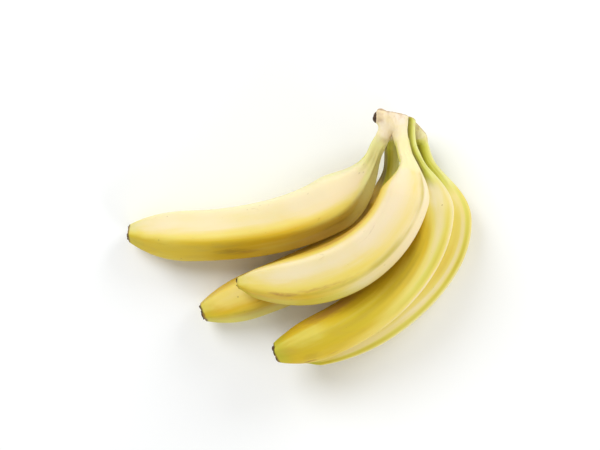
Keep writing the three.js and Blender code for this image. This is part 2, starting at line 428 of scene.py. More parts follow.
def turned(points, degrees, axis):
    """Points turned about the y axis (1) or the z axis (2), counted as in the part's source."""
    c, s = math.cos(math.radians(degrees)), math.sin(math.radians(degrees))
    x, y, z = points[..., 0], points[..., 1], points[..., 2]
    if axis == 1:
        return np.stack([c * x + s * z, y, c * z - s * x], -1)
    return np.stack([c * x - s * y, s * x + c * y, z], -1)


ROOT_OVERLAP = 8.0  # how far the crown's flesh runs on over and then inside each pedicel
CUSHION_CENTRE, CUSHION_HALF = (60.5, 66, 35), (6.5, 7, 14)  # of the flesh that joins the roots inside
# Each root's end at the knife cut, its radius at the joint and at the cut as shares of its pedicel's,
# its blend with what is already joined, where past the joint its skin turns green, and, before that, how
# green it is in pairs round it, how brown, and how light, which is painted light and shade. Cream is how
# creamy its palest green is.
ROOTS = [
    dict(
        end=(57.5, 74, 48), joint=0.96, cut=1.25, web=4.5, greening=(-8, 9),
        edge=[(-90, 0.35), (-30, 0.2), (0, 0.15), (40, 0.25), (70, 0.4), (100, 0.45)],
        brown=0, light=0.8, cream=0.4,
    ),
    dict(
        end=(61, 73, 47.5), joint=1.06, cut=1.35, web=4.5, greening=(-10, 9),
        edge=[(-110, 0.3), (-75, 0.5), (-50, 0.3), (-30, 0.1), (60, 0.1), (90, 0.3)],
        brown=0, light=0.4, cream=1,
    ),
    dict(
        end=(61, 73, 30), joint=1.06, cut=1.25, web=2.0, greening=(-6, 2),
        edge=[(0, 0)], brown=0, light=-1.8, cream=0,
    ),
    dict(
        end=(68.6, 72, 37.5), joint=1.04, cut=1.05, web=1.2, greening=(-17, -11),
        edge=[(0, 0)], brown=0.15, light=0.3, cream=0,
    ),
    dict(
        end=(73.5, 70, 27), joint=1.04, cut=1.15, web=1.2, greening=(-1.2, 1.2),
        edge=[(0, 0.55)], brown=0.15, light=0.6, cream=0.3,
    ),
]
WEB_LOW, WEB_RISE = 54, 7  # webs are thin below this y and whole this far above it
WEB_THIN = 0.12  # share of a web that is left where it is thin
ROOT_BEADS, INSIDE_BEADS, STUMP_BEADS = 26, 12, 14
ROOT_INSIDE = 0.88  # radius at the root's hidden end, as a share of its pedicel's
LEAD_RISE = 0.3  # share of a pedicel's slope that its root keeps
STUMP_WEB, STUMP_ROUNDING = 3, 1.0
KNOB = [(49.9, 69.7, 50.6), (50.3, 67.6, 50.2)]
KNOB_RADII = [2.6, 2.8]
KNOB_WEB, KNOB_BROWN = 1.5, 0.45
GRAIN_HEIGHT, GRAIN_WAVES = 0.05, 14
GRAIN_LENGTHS, GRAIN_SLANT = (1.6, 6), 0.25
CUT_ROUNDING = 0.8
CREASE_SHADE_WIDTH = 2.0  # of the painted shade in the dark olive fold between two roots
SKIN_BLEND = 0.8  # how far one root's skin runs out over the next one's
TURNING = 6  # length over which a root's painted light and shade turn into its pedicel's
SLOPE_STEP, SLOPE_LIGHT = 0.3, 0.5  # over what height a root's slope is taken, and how much painted light it gives skin that faces up


def root_beads(finger, root):
    """Centres and radii from inside the pedicel back to the knife cut."""
    start = np.array(finger["pedicel"][0], float)
    back = unit(start - np.array(finger["pedicel"][1], float))
    lead = start + back * ROOT_LEAD * (1, 1, LEAD_RISE)
    end = np.array(root["end"], float)
    share = np.linspace(0, 1, ROOT_BEADS)
    behind = bezier([start, lead, (lead + end) / 2, end], share)
    flare = root["joint"] + (root["cut"] - root["joint"]) * smooth(share)
    inside = np.linspace(0.5, ROOT_OVERLAP, INSIDE_BEADS)
    ahead = centreline(finger).at(inside)[0]
    thin = root["joint"] - (root["joint"] - ROOT_INSIDE) * (inside / ROOT_OVERLAP) ** 1.5
    return np.concatenate([behind, ahead]), finger["stalk"] * np.concatenate([flare, thin])


def past_knife(points):
    """How far points are past each knife cut; negative inside the crown."""
    past = []
    for (x, y), facing in KNIFE_CUTS:
        a = math.radians(facing)
        past.append((points[..., 0] - x) * math.cos(a) + (points[..., 1] - y) * math.sin(a))
    return past


def cushion_distance(points):
    """Distance to the flesh inside the crown, a rounded block that is turned as the part's pad is."""
    local = turned(turned(points - np.array(CUSHION_CENTRE, np.float32), -PAD_TURN, 2), -PAD_LEAN, 1)
    power = 2 / PAD_BOXINESS
    norm = (np.abs(local / np.array(CUSHION_HALF, np.float32)) ** power).sum(-1) ** (1 / power)
    norm = np.maximum(norm, 1e-3)
    return np.sqrt((local * local).sum(-1)) * (1 - 1 / norm)


def stump_distance(points):
    """Distance to the broken-off finger's stump, flat at its end."""
    share = np.linspace(0, 1, STUMP_BEADS)[:, None]
    start, end = np.array(STUMP_START, float), np.array(STUMP_END, float)
    radii = STUMP_RADII[0] + (STUMP_RADII[1] - STUMP_RADII[0]) * share[:, 0]
    past_end = (points - end.astype(np.float32)) @ unit(end - start).astype(np.float32)
    stump = beads(points, start * (1 - share) + end * share, radii)
    return -smooth_union(-stump, -past_end, STUMP_ROUNDING)


def grain(points, random):
    """Woody relief about 1 high: uneven grooves that run from the cut towards the pedicels."""
    total = 0
    for _ in range(GRAIN_WAVES):
        length = random.uniform(*GRAIN_LENGTHS)
        turn = random.uniform(0, 2 * math.pi)
        slant = random.uniform(-GRAIN_SLANT, GRAIN_SLANT)
        across = np.array([math.cos(turn), slant, math.sin(turn)], np.float32) * 2 * math.pi / length
        total = total + np.cos(points @ across + random.uniform(0, 2 * math.pi))
    return total / math.sqrt(GRAIN_WAVES / 2)


def crown_distance(points):
    """Distance to the crown's skin: all its forms blended, grained, and cut by the knife."""
    distance = smooth_union(cushion_distance(points), stump_distance(points), STUMP_WEB)
    fullness = WEB_THIN + (1 - WEB_THIN) * smooth((points[..., 1] - WEB_LOW) / WEB_RISE)
    for finger, root in zip(FINGERS, ROOTS):
        distance = smooth_union(distance, beads(points, *root_beads(finger, root)), root["web"] * fullness)
    rough = grain(points, np.random.default_rng(GRAIN_SEED))
    distance = distance + GRAIN_HEIGHT * rough
    for cut in past_knife(points):
        distance = -smooth_union(-distance, -(cut + GRAIN_HEIGHT * rough), CUT_ROUNDING)
    return smooth_union(distance, beads(points, KNOB, KNOB_RADII), KNOB_WEB)


def rise(vertices, step):
    """The crown's distance field a step above its skin."""
    return crown_distance((vertices + (0, 0, step)).astype(np.float32))


def angle_round(points, centres, onward):
    """Angles of points round a row of balls, from up towards the right of its way."""
    nearest = np.argmin(np.linalg.norm(points[:, None, :] - centres[None, :, :], axis=-1), 1)
    right = unit(np.cross(onward, [0, 0, 1.0]))
    offset = points - centres[nearest]
    return np.arctan2(offset @ right, offset @ np.cross(right, onward))


def greenness(ahead, root):
    """How green the skin is at distances past the joint of one pedicel."""
    start, end = root["greening"]
    return smooth((ahead - start) / (end - start))


CROWN_LOW, CROWN_HIGH = np.array([42.0, 44, 9]), np.array([88.0, 80, 62])  # corners round the whole crown


def crown_skin():
    """Vertices and faces of the crown, one skin over its cushion, its stump and every pedicel's root."""
    counts = np.ceil((CROWN_HIGH - CROWN_LOW) / CROWN_STEP).astype(int)
    axes = [CROWN_LOW[k] + CROWN_STEP * np.arange(counts[k]) for k in range(3)]
    points = np.stack(np.meshgrid(*axes, indexing="ij"), -1).astype(np.float32)
    grid = openvdb.FloatGrid(background=1.0)
    grid.copyFromArray(crown_distance(points).astype(np.float32))
    grid.gridClass = openvdb.GridClass.LEVEL_SET
    vertices, quads = grid.convertToQuads(0.0)
    return CROWN_LOW + np.asarray(vertices, float) * CROWN_STEP, np.asarray(quads)[:, ::-1].tolist()


def crown_piece(material):
    """The crown, with how each spot of its skin looks, mixed from the roots that are near."""
    vertices, quads = crown_skin()
    cut = np.max(past_knife(vertices), 0)
    total = np.exp(-beads(vertices.astype(np.float32), KNOB, KNOB_RADII) / SKIN_BLEND)
    skin = {"green": 0, "brown": KNOB_BROWN * total, "light": 0, "cream": 0}
    away = []
    upward = (rise(vertices, SLOPE_STEP) - rise(vertices, -SLOPE_STEP)) / (2 * SLOPE_STEP)
    for finger, root, look in zip(FINGERS, ROOTS, PEEL_LOOKS):
        start = np.array(finger["pedicel"][0], float)
        onward = unit(np.array(finger["pedicel"][1], float) - start)
        ahead = (vertices - start) @ onward
        centres, radii = root_beads(finger, root)
        away.append(beads(vertices.astype(np.float32), centres, radii))
        close = np.exp(-away[-1] / SKIN_BLEND)
        angle = angle_round(vertices, centres, onward)
        green = np.maximum(greenness(ahead, root), around(root["edge"], angle))
        turned_green = smooth((ahead - root["greening"][0]) / TURNING)
        stalk_light = around(look["stalk"], angle)
        # painted light and shade: the root's own, with skin that faces up painted lighter, turning into its
        # pedicel's
        light = (root["light"] + SLOPE_LIGHT * upward) * (1 - turned_green) + stalk_light * turned_green
        total = total + close
        skin["green"] = skin["green"] + close * green
        skin["brown"] = skin["brown"] + close * root["brown"] * (1 - green)
        skin["light"] = skin["light"] + close * light
        skin["cream"] = skin["cream"] + close * root["cream"]
    first_two = np.minimum(away[0], away[1])  # no painted fold shade parts the first two roots
    nearest = np.sort(np.stack([first_two, *away[2:]]), 0)
    crease = np.exp(-(nearest[1] - nearest[0]) / CREASE_SHADE_WIDTH)
    grown = np.stack([cut * MM, skin["green"] / total, skin["brown"] / total], -1)
    shade = np.stack([crease, skin["light"] / total, skin["cream"] / total], -1)
    layers = {"grown": grown, "skin": shade}
    return make_piece("crown_flesh", "crown", placed(vertices), quads, material, layers)


# ---- materials ----------------------------------------------------------------------------------------


class Nodes:
    """Builds one material's graph from short calls. Inputs are sockets or plain values."""

    def __init__(self, name):
        self.material = bpy.data.materials.new(name)
        self.material.use_nodes = True
        self.tree = self.material.node_tree
        self.tree.nodes.clear()

    def node(self, kind, inputs, **settings):
        made = self.tree.nodes.new(kind)
        for key, value in settings.items():
            setattr(made, key, value)
        for key, value in inputs.items():
            socket = made.inputs[key]
            if isinstance(value, bpy.types.NodeSocket):
                self.tree.links.new(value, socket)
            else:
                socket.default_value = value
        return made

    def attribute(self, name):
        return self.node("ShaderNodeAttribute", {}, attribute_name=name).outputs["Vector"]

    def position(self):
        return self.node("ShaderNodeTexCoord", {}).outputs["Object"]

    def split(self, vector):
        parts = self.node("ShaderNodeSeparateXYZ", {0: vector})
        return parts.outputs[0], parts.outputs[1], parts.outputs[2]

    def math(self, operation, a, b=0.0):
        return self.node("ShaderNodeMath", {0: a, 1: b}, operation=operation).outputs[0]

    def plus(self, a, b):
        return self.math("ADD", a, b)

    def times(self, a, b):
        return self.math("MULTIPLY", a, b)

    def swing(self, value, width):
        """A noise from 0 to 1 as one round 0, `width` wide."""
        return self.times(self.math("SUBTRACT", value, 0.5), width)

    def vector(self, operation, a, b):
        made = self.node("ShaderNodeVectorMath", {0: a, 1: b}, operation=operation)
        return made.outputs["Value" if operation == "LENGTH" else "Vector"]

    def ramp(self, value, low, high):
        """0 at low, 1 at high, eased; low may be the larger."""
        inputs = {"Value": value, "From Min": low, "From Max": high}
        return self.node("ShaderNodeMapRange", inputs, interpolation_type="SMOOTHSTEP").outputs["Result"]

    def noise(self, vector, scale, detail=3.0, distortion=0.0):
        inputs = {"Vector": vector, "Scale": scale, "Detail": detail, "Distortion": distortion}
        return self.node("ShaderNodeTexNoise", inputs).outputs["Fac"]

    def stretched(self, vector, x, y, z):
        return self.vector("MULTIPLY", vector, (x, y, z))

    def mix(self, share, a, b):
        made = self.node("ShaderNodeMix", {0: share}, data_type="RGBA", clamp_factor=True)
        for socket, value in ((made.inputs[6], a), (made.inputs[7], b)):
            if isinstance(value, bpy.types.NodeSocket):
                self.tree.links.new(value, socket)
            else:
                socket.default_value = (*value, 1)
        return made.outputs[2]

    def spread(self, value, low, high):
        """A noise from 0 to 1 as one from low to high."""
        inputs = {"Value": value, "To Min": low, "To Max": high}
        return self.node("ShaderNodeMapRange", inputs).outputs["Result"]

    def bump(self, height, depth, strength):
        inputs = {"Height": height, "Distance": depth, "Strength": strength}
        return self.node("ShaderNodeBump", inputs).outputs["Normal"]

    def surface(self, **inputs):
        shader = self.node("ShaderNodeBsdfPrincipled", {k.replace("_", " "): v for k, v in inputs.items()})
        output = self.node("ShaderNodeOutputMaterial", {})
        self.tree.links.new(shader.outputs[0], output.inputs[0])
        return self.material


# Colours of the peel from pale through yellow and gold to deep gold, each with the one that it has where the
# peel leans to green. They are partly its ripeness and partly painted light and shade: pale stands for lit
# faces, gold and deep gold for shaded sides.
PALE, LEAFY_PALE = (0.87, 0.725, 0.47), (0.82, 0.77, 0.40)
YELLOW, LEAFY_YELLOW = (0.84, 0.66, 0.15), (0.71, 0.64, 0.12)
GOLD, LEAFY_GOLD = (0.74, 0.46, 0.02), (0.63, 0.50, 0.03)
DEEP_SHADE, LEAFY_DEEP_SHADE = (0.51, 0.315, 0.011), (0.46, 0.34, 0.012)
OLIVE_GOLD, OLIVE, GREEN = (0.58, 0.42, 0.05), (0.42, 0.36, 0.05), (0.48, 0.52, 0.04)
BROWN, RED_BROWN, DARK = (0.26, 0.13, 0.035), (0.38, 0.16, 0.06), (0.035, 0.018, 0.01)

# Colours of the crown and of the pedicels' skin. The dark olive fold colour is painted shade, and the darkest
# two stalk colours are painted shadow and shade.
CREAM, PINK, TAN = (0.90, 0.735, 0.44), (0.92, 0.78, 0.62), (0.66, 0.46, 0.24)
CREASE_SHADE = (0.30, 0.28, 0.03)
STALK_SHADOW, STALK_SHADE_GREEN, STALK = (0.17, 0.12, 0.015), (0.44, 0.42, 0.03), (0.66, 0.63, 0.10)
STALK_LEAFY, STALK_CREAM = (0.77, 0.76, 0.26), (0.86, 0.745, 0.40)
DRY_TAN, DRY_BROWN, SCAR_BROWN = (0.52, 0.35, 0.20), (0.38, 0.24, 0.12), (0.13, 0.065, 0.03)
MARK_TINTS = {"brown": BROWN, "dark": DARK, "red": RED_BROWN}

# What sets each finger's peel apart. Pairs that go round a finger are (degrees, value), and stations are
# (distance past the neck, pairs).
# green: share of green at its tip and on its marked ridges.
# ridges: how marked each ridge is, counted from the turned one.
# band, line: how strong the soft band and the thin line on a marked ridge are.
# rim: how dark the peel is round its scar.
# pinch: how much the last of the fruit narrows in to its scar.
# neck, neck_blur: pairs of how far past the neck the pedicel's skin ends in mm, and that border's width.
# stalk: pairs of painted light and shade on the pedicel, from -2 for painted shadow through -1 for shaded
# deep green to 1 for pale.
# leaf: stations of how much the peel leans to green.
# tones: stations of how golden the peel is, partly its ripeness and mostly painted shade on the sides that
# face away from the light or lie under other fingers.
# marks: (kind, distance past the neck, degrees, length, width, strength) of single marks.
PEEL_LOOKS = [
    dict(
        green=0.4, ridges=(0.3, 0, 0.3, 0.3, 0.1), band=0.3, line=0.5, rim=0.9, pinch=0, neck_blur=14,
        neck=[(-120, 26), (-60, 30), (-30, 26), (0, 11), (60, 9), (120, 14)],
        stalk=[(-120, 1.0), (-50, 1.3), (0, 1.3), (40, 1.2), (70, 0.8), (100, 0.3)],
        leaf=[
            (30, [(-120, 1.2), (-60, 1.2), (-35, 0.5), (0, 0), (40, 0.2), (80, 0.8), (120, 0.8), (170, 0)]),
            (60, [(-120, 0.3), (0, 0), (40, 0.2), (80, 0.8), (120, 0.8), (170, 0)]),
            (150, [(-90, 0.6), (-30, 0.6), (0, 0.1), (40, 0.2), (80, 0.8), (120, 0.8), (170, 0.3)]),
        ],
        tones=[
            (25, [
                (-150, 0.6), (-90, 0.15), (-60, 0.15), (-40, 0.2), (-20, 0.3), (0, 0.1), (70, 0), (120, 0.2),
            ]),
            (65, [
                (-150, 0.8), (-90, 0.15), (-60, 0.2), (-40, 0.5), (-20, 0.85), (0, 0.3), (20, 0.05), (70, 0),
                (120, 0.2),
            ]),
            (110, [(-150, 1), (-90, 0.95), (-50, 1), (-20, 1.1), (-5, 0.5), (10, 0.15), (70, 0), (120, 0.2)]),
            (150, [
                (-150, 1), (-90, 0.7), (-50, 0.95), (-20, 0.8), (0, 0.3), (20, 0.05), (70, 0), (120, 0.2),
            ]),
        ],
        marks=[
            ("brown", 110, -54, 10, 3.4, 0.4), ("red", 101, -62, 9, 2.2, 0.45),
            ("brown", 45, -52, 14, 2, 0.25), ("dark", 95, 76, 1.6, 0.8, 0.8), ("brown", 11, 8, 4, 0.35, 0.4),
            ("brown", 14, 20, 5, 0.4, 0.3), ("brown", 9, 33, 4, 0.35, 0.3),
        ],
    ),
    dict(
        green=0.3, ridges=(0.9, 0, 0.3, 0.3, 0), band=0.8, line=0.15, rim=0.3, pinch=0.3, neck_blur=2.5,
        neck=[(-120, 14), (-24, 13.5), (21, 11.2), (59, 13.2), (120, 14)],
        stalk=[(-90, 0.3), (-55, 0.8), (-20, 1.2), (30, 1.1), (50, 0.8), (75, 0.2), (140, -0.4)],
        leaf=[(60, [(0, 0)]), (100, [(-120, 0.9), (-70, 0.9), (-45, 0.3), (0, 0.1), (30, 0.2), (60, 0.1)])],
        tones=[
            (30, [
                (-150, 0.9), (-110, 0.3), (-80, 0), (-40, 0.05), (-15, 0.25), (20, 0.05), (45, 0.1),
                (70, 0.35), (100, 0.9),
            ]),
            (80, [
                (-150, 0.9), (-110, 0.4), (-80, 0.15), (-45, 0.15), (-20, 0.5), (0, 0.3), (20, 0), (45, 0.1),
                (70, 0.5), (100, 1),
            ]),
            (110, [
                (-150, 1), (-110, 0.6), (-80, 0.6), (-50, 0.8), (-36, 0.9), (-20, 0.6), (0, 0.3), (20, 0),
                (45, 0.1), (70, 0.6), (100, 1),
            ]),
            (140, [(-150, 1), (-80, 0.9), (-45, 0.9), (-20, 0.45), (0, 0.15), (60, 0.1), (100, 0.5)]),
        ],
        marks=[
            ("red", 117, -30, 13, 1.7, 0.6), ("red", 127, -27, 8, 1.3, 0.5), ("red", 95, -25, 18, 1.6, 0.5),
            ("brown", 85, -32, 9, 1.6, 0.2), ("brown", 63.8, -56, 0.9, 0.9, 0.6),
            # The last mark on the next line, a long red-brown band on the flank that faces the first finger,
            # is painted shade.
            ("red", 154, 15, 1.2, 0.9, 0.5), ("red", 80, 98, 45, 5, 0.5),
        ],
    ),
    dict(
        green=0.5, ridges=(0.3, 0, 0.3, 0.3, 0.2), band=0.2, line=1, rim=0.9, pinch=0, neck_blur=16,
        neck=[(-90, 24), (0, 22), (40, 12), (90, 10)],
        stalk=[(-90, 1.2), (-20, 1.1), (0, 0.3), (25, -0.9), (50, -1.8), (120, -2)],
        leaf=[
            (120, [(-120, 0.5), (-60, 0.5), (-30, 0.1), (0, 0), (60, 0)]),
            (150, [(-120, 1), (-40, 0.8), (-10, 0), (60, 0)]),
        ],
        tones=[
            (60, [(-120, 0.8), (-60, 0.8), (0, 0.6), (60, 0.9), (80, 1.2), (120, 1.2)]),
            (130, [
                (-120, 0.5), (-70, 0.5), (-40, 0.8), (-20, 0.85), (0, 0.5), (20, 0.35), (45, 0.4),
                (70, 0.65), (90, 0.8), (130, 0.9),
            ]),
        ],
        marks=[("brown", 130, -20, 2.5, 0.6, 0.3)],
    ),
    dict(
        green=0.8, ridges=(0.05, 0.15, 0.2, 0.2, 0.2), band=0.4, line=0.6, rim=0.9, pinch=-0.07, neck_blur=12,
        neck=[(-90, 16), (90, 16)],
        stalk=[(-90, 0.3), (-58, 0.9), (-40, 0.5), (-26, -0.5), (-12, -1.5), (10, -1.9), (90, -2)],
        leaf=[
            (28, [(-90, 0.3), (0, 0.3)]),
            (70, [(-58, 0), (-48, 1.2), (-40, 1), (-30, 0.3), (0, 0.5), (40, 0.3)]),
            (110, [(-60, 0), (-20, 0.8), (20, 0.8), (45, 0.3), (70, 0)]),
            (150, [(-60, 0.3), (-30, 0.6), (0, 0.7), (40, 0.7), (60, 0.4), (90, 0)]),
        ],
        tones=[
            (28, [
                (-130, 0.5), (-90, 0.3), (-60, 0.1), (-48, 0.3), (-35, 0.15), (-15, 0.12), (10, 0.5),
                (40, 0.9), (90, 1.1),
            ]),
            (52, [
                (-130, 0.5), (-90, 0.3), (-60, 0.15), (-48, 0.55), (-36, 0.25), (-20, 0.3), (0, 1.35),
                (20, 1.4), (60, 1.3),
            ]),
            (80, [
                (-130, 0.6), (-90, 0.3), (-60, 0.15), (-47, 0.65), (-36, 0.35), (-20, 0.6), (0, 1.6),
                (30, 1.6), (60, 1.3),
            ]),
            (110, [
                (-130, 0.7), (-90, 0.3), (-55, 0.5), (-30, 0.85), (-10, 1.2), (10, 1.35), (30, 1.5),
                (60, 1.5),
            ]),
            (140, [
                (-130, 0.8), (-70, 0.6), (-50, 0.8), (-20, 1.1), (0, 0.8), (20, 0.55), (40, 0.55), (60, 1.1),
                (80, 1.6),
            ]),
        ],
        marks=[
            # The second mark on the next line, a long red-brown band on the upper flank under the second
            # finger, is painted shade.
            ("red", 30.5, -52, 3.2, 0.5, 0.7), ("red", 126, 64, 26, 4.5, 0.55),
            ("red", 147, -56, 15, 0.9, 0.75), ("red", 134, -53, 8, 0.7, 0.6),
            # The first mark on the next line, a soft brown band beside the ridge, is painted shade.
            ("brown", 150, -40, 7, 2.5, 0.2), ("dark", 171, 39, 1.3, 1.1, 0.7),
            ("dark", 171.5, -20, 1.2, 1.0, 0.7),
        ],
    ),
    dict(
        green=1.0, ridges=(0.1, 0.15, 0.2, 0.3, 0.4), band=0.6, line=0.5, rim=0.2, pinch=0.4, neck_blur=12,
        neck=[(-90, 17), (90, 17)],
        stalk=[(-90, 0.4), (-60, 0.9), (-45, 0.6), (-28, 0.1), (-5, -0.6), (15, -1.3), (60, -1.9)],
        leaf=[
            (50, [(-90, 0.2), (-56, 0.2), (-50, 1.3), (-44, 1.2), (-39, 0.3), (0, 0.3)]),
            (140, [(-90, 0.2), (-60, 0.3), (-53, 1.3), (-47, 1.2), (-41, 0.3), (0, 0.3)]),
        ],
        tones=[
            (18, [
                (-140, 0.5), (-100, 0.4), (-60, 0.42), (-40, 0.3), (-20, 0.33), (10, 0.5), (30, 0.6), (90, 1),
            ]),
            (65, [
                (-140, 0.5), (-100, 0.3), (-75, 0.15), (-55, 0.15), (-49, 0.75), (-45, 0.7), (-39, 0.2),
                (-30, 0.15), (-22, 0.5), (-12, 0.65), (30, 0.7), (90, 1),
            ]),
            (100, [
                (-140, 0.6), (-100, 0.3), (-75, 0.15), (-56, 0.15), (-50, 0.72), (-46, 0.65), (-40, 0.18),
                (-30, 0.1), (-22, 0.4), (0, 0.5), (30, 0.7), (90, 1),
            ]),
            (140, [
                (-140, 0.7), (-100, 0.4), (-78, 0.15), (-59, 0.2), (-52, 0.85), (-48, 0.75), (-42, 0.25),
                (-28, 0.3), (0, 0.5), (30, 0.7), (90, 1),
            ]),
        ],
        marks=[("brown", 124, -24, 0.9, 0.9, 0.6)],
    ),
]


def flesh_colour(n, position, brown):
    """Cream and pink of the crown, which runs on into the pedicels, and its fibre."""
    patch = n.noise(position, 110, 4, 0.5)
    fibre = n.noise(n.stretched(position, 900, 120, 900), 1.0, 4)
    colour = n.mix(n.ramp(patch, 0.38, 0.62), CREAM, PINK)
    colour = n.mix(n.times(n.ramp(fibre, 0.5, 0.75), 0.25), colour, TAN)
    if brown:
        colour = n.mix(n.ramp(n.plus(brown, n.swing(patch, 1.2)), 0.1, 0.9), colour, TAN)
    return colour, fibre


def stalk_colour(n, position, green, light, cream, streak, brown=None):
    """The skin on both sides of a joint, from the crown's cream to the pedicel's green with its painted light
    and shade, and its fibre.
    """
    flesh, fibre = flesh_colour(n, position, brown)
    uneven = n.plus(n.swing(n.noise(position, 90, 2), 0.8), n.swing(streak, 0.9))
    light = n.plus(light, uneven)
    # painted shadow, shade and light: from dark through shaded green and green to pale
    leafy = n.mix(n.ramp(light, -2.0, -1.0), STALK_SHADOW, STALK_SHADE_GREEN)
    leafy = n.mix(n.ramp(light, -1.0, 0.0), leafy, STALK)
    leafy = n.mix(n.ramp(light, 0.0, 1.0), leafy, n.mix(cream, STALK_LEAFY, STALK_CREAM))
    turning = n.plus(green, n.times(uneven, 0.4))
    return n.mix(n.ramp(turning, 0.1, 0.9), flesh, leafy), fibre


def ripeness_and_shade_colour(n, straight, tone, leaf):
    """The fruit from pale through yellow and gold to deep gold, partly ripeness and partly painted shade,
    with olive patches where it is golden.
    """
    colour = n.mix(n.ramp(tone, 0, 0.5), n.mix(leaf, PALE, LEAFY_PALE), n.mix(leaf, YELLOW, LEAFY_YELLOW))
    colour = n.mix(n.ramp(tone, 0.4, 1.0), colour, n.mix(leaf, GOLD, LEAFY_GOLD))
    colour = n.mix(n.ramp(tone, 1.0, 1.7), colour, n.mix(leaf, DEEP_SHADE, LEAFY_DEEP_SHADE))
    patchy = n.ramp(n.noise(n.stretched(straight, 28, 140, 140), 1.0, 4, 0.6), 0.45, 0.72)
    return n.mix(n.times(n.times(patchy, n.ramp(tone, 0.4, 1.1)), 0.6), colour, OLIVE_GOLD)


def ridge_colour(n, colour, look, ridge, marked, greenish, streak):
    """A soft band, green as the finger is, and a thin broken line along each marked ridge."""
    band = n.times(n.times(n.math("POWER", ridge, 9), n.ramp(greenish, 0.3, 0.6)), marked)
    colour = n.mix(n.times(band, look["band"]), colour, OLIVE_GOLD)
    colour = n.mix(n.times(band, 0.7 * look["green"]), colour, GREEN)
    line = n.times(n.times(n.math("POWER", ridge, 60), n.ramp(streak, 0.3, 0.65)), marked)
    return n.mix(n.times(line, look["line"]), colour, OLIVE)


def worn_colour(n, colour, straight, ridge, slow, speck):
    """Freckles here and there, and scuffs along the ridges."""
    specks = n.times(n.ramp(speck, 0.775, 0.80), n.ramp(slow, 0.4, 0.6))
    colour = n.mix(n.times(specks, 0.5), colour, BROWN)
    scuff = n.noise(n.stretched(straight, 60, 220, 220), 1.0, 5, 0.8)
    scuffs = n.times(n.ramp(scuff, 0.67, 0.75), n.ramp(ridge, 0.4, 1.0))
    return n.mix(n.times(scuffs, 0.35), colour, BROWN)


def marked_colour(n, colour, straight, marks, radius_of):
    """The single marks on one finger, each a ragged spot at its own place on the peel."""
    ragged = n.swing(n.noise(n.stretched(straight, 200, 900, 900), 1.0, 3), 1.5)
    for kind, past, degrees, length, width, strength in marks:
        radius, a = radius_of(past), math.radians(degrees)
        centre = (past * MM, radius * MM * math.sin(a), radius * MM * math.cos(a))
        offset = n.vector("SUBTRACT", straight, centre)
        scaled = n.stretched(offset, 1 / (length * MM), 1 / (width * MM), 1 / (width * MM))
        reach = n.plus(n.vector("LENGTH", scaled, (0, 0, 0)), ragged)
        colour = n.mix(n.times(n.ramp(reach, 1.3, 0.2), strength), colour, MARK_TINTS[kind])
    return colour


def peel_material(number, look, radius_of):
    """Waxy peel: its ripeness and painted shade round the finger, ridges, pedicel, green tip, wear, marks and
    dark rim.
    """
    n = Nodes(f"peel_{number}")
    straight, position = n.attribute("straight"), n.position()
    left, ridge, tone = n.split(n.attribute("peel"))
    beyond_neck, light, stalk_green = n.split(n.attribute("skin"))
    marked, leaf, cream = n.split(n.attribute("marked"))
    slow = n.noise(n.stretched(straight, 1, 2.2, 2.2), 22 + number, 3, 0.4)
    streak = n.noise(n.stretched(straight, 12, 260, 260), 1.0, 4)
    fibre = n.noise(n.stretched(straight, 60, 1100, 1100), 1.0, 2)
    greenish = n.noise(n.stretched(straight, 30, 90, 90), 1.0, 3)
    speck = n.noise(straight, 420, 1)

    contrast = n.plus(n.times(tone, 0.5), 0.15)  # golden peel is more streaked than pale peel
    tone = n.plus(tone, n.plus(n.swing(slow, 0.45), n.swing(streak, contrast)))
    colour = ripeness_and_shade_colour(n, straight, tone, leaf)
    colour = ridge_colour(n, colour, look, ridge, marked, greenish, streak)
    neck = n.ramp(n.plus(beyond_neck, n.swing(greenish, 0.8)), 0.5, -0.5)
    colour = n.mix(neck, colour, stalk_colour(n, position, stalk_green, light, cream, streak)[0])
    wander = n.swing(greenish, 0.012)
    near_tip = n.ramp(n.plus(left, wander), 0.015, 0.001)
    colour = n.mix(n.times(near_tip, 0.65 * look["green"]), colour, GREEN)
    colour = worn_colour(n, colour, straight, ridge, slow, speck)
    colour = marked_colour(n, colour, straight, look["marks"], radius_of)
    rim = n.ramp(n.plus(left, n.times(wander, 0.35)), 0.0026, 0.0012)
    colour = n.mix(n.times(rim, look["rim"]), colour, n.mix(n.ramp(speck, 0.4, 0.6), BROWN, DARK))

    pores = n.noise(position, 1600, 2)
    height = n.plus(n.times(fibre, 0.6), n.times(pores, 0.4))
    return n.surface(
        Base_Color=colour, Roughness=n.spread(streak, 0.40, 0.52), Specular_IOR_Level=0.2,
        Normal=n.bump(height, 0.00012, 0.6),
        Subsurface_Weight=0.08, Subsurface_Radius=(0.006, 0.003, 0.0006), Subsurface_Scale=1.0,
    )


